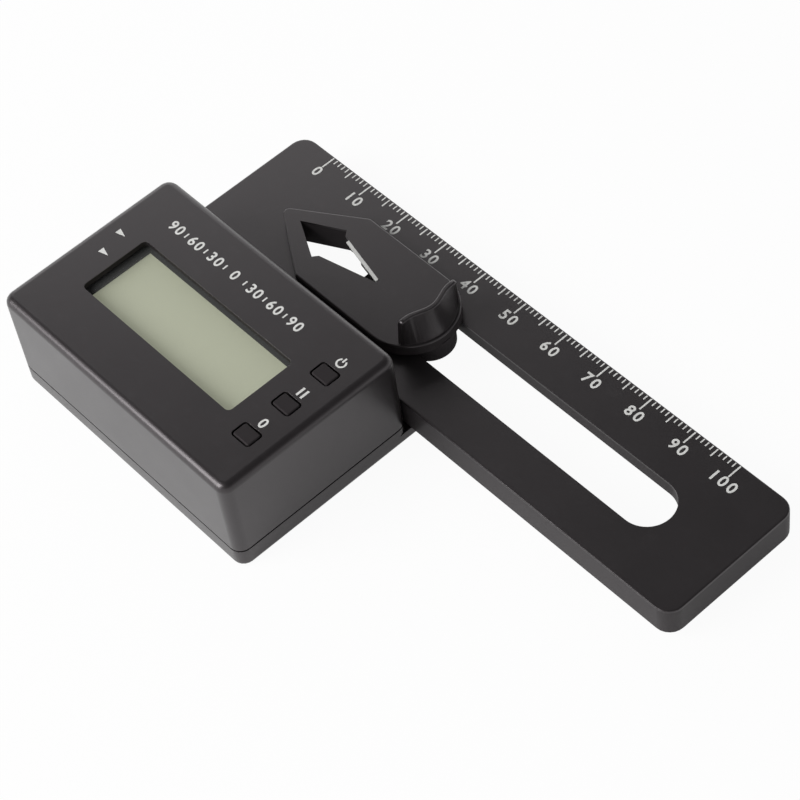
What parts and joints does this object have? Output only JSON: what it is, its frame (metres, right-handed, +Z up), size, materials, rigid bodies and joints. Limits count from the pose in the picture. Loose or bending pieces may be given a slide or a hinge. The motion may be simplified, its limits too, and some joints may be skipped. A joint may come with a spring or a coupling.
{
  "type": "digital pitch gauge",
  "caption": "Digital pitch gauge: boxed tilt display with keys beside a slotted arm with a millimetre scale, along which an arrow slider with a thumb lip moves a jaw.",
  "frame": {"origin": "centre of the bottom of the object's box, on the surface that the gauge lies on", "axes": "+X along the arm towards the 100 end of its scale, +Y from the display box towards the scale edge, +Z up through the display"},
  "size_m": [0.1208, 0.0668, 0.0219],
  "materials": {
    "black_plastic": "fine-grained satin black moulding",
    "key_plastic": "matte black",
    "clear_window": "clear polished",
    "display_glass": "grey-green reflective display",
    "holder_plastic": "natural white moulding",
    "contact_rubber": "layered silicone rubber",
    "board_laminate": "green lacquered laminate",
    "chip_resin": "black moulding resin",
    "spring_steel": "plated spring steel",
    "cell_steel": "plated steel can",
    "screw_steel": "zinc-plated steel"
  },
  "bodies": {
    "gauge": {"measuring_arm": "black_plastic", "top_shell": "black_plastic", "rear_cover": "black_plastic", "display_window": "clear_window", "lcd_panel": "display_glass", "lcd_holder": "holder_plastic", "zebra_strip": "contact_rubber", "circuit_board": "board_laminate", "tilt_sensor": "chip_resin", "controller_chip": "chip_resin", "power_switch": "chip_resin", "hold_switch": "chip_resin", "zero_switch": "chip_resin", "button_cell": "cell_steel", "positive_contact": "spring_steel", "negative_contact": "spring_steel", "cover_screw_1": "screw_steel", "cover_screw_2": "screw_steel", "cover_screw_3": "screw_steel", "cover_screw_4": "screw_steel", "arm_screw_1": "screw_steel", "arm_screw_2": "screw_steel", "arm_screw_3": "screw_steel", "board_screw_1": "screw_steel", "board_screw_2": "screw_steel"},
    "sliding_jaw": {"slider": "black_plastic", "moving_jaw": "black_plastic", "friction_spring_near": "spring_steel", "friction_spring_far": "spring_steel", "jaw_screw_1": "screw_steel", "jaw_screw_2": "screw_steel"},
    "power_button": {"power_key": "key_plastic"},
    "hold_button": {"hold_key": "key_plastic"},
    "zero_button": {"zero_key": "key_plastic"},
    "door": {"battery_door": "black_plastic"}
  },
  "joints": [
    {"name": "slider_travel", "type": "slide", "parent": "gauge", "child": "sliding_jaw", "axis": [1, 0, 0], "range_m": [-0.0015, 0.0515]},
    {"name": "power_press", "type": "slide", "parent": "gauge", "child": "power_button", "axis": [0, 0, -1], "range_m": [0, 0.0004], "stiffness_N_per_m": 60},
    {"name": "hold_press", "type": "slide", "parent": "gauge", "child": "hold_button", "axis": [0, 0, -1], "range_m": [0, 0.0004], "stiffness_N_per_m": 60},
    {"name": "zero_press", "type": "slide", "parent": "gauge", "child": "zero_button", "axis": [0, 0, -1], "range_m": [0, 0.0004], "stiffness_N_per_m": 60},
    {"name": "door_travel", "type": "slide", "parent": "gauge", "child": "door", "axis": [-1, 0, 0], "range_m": [0, 0.024]}
  ]
}
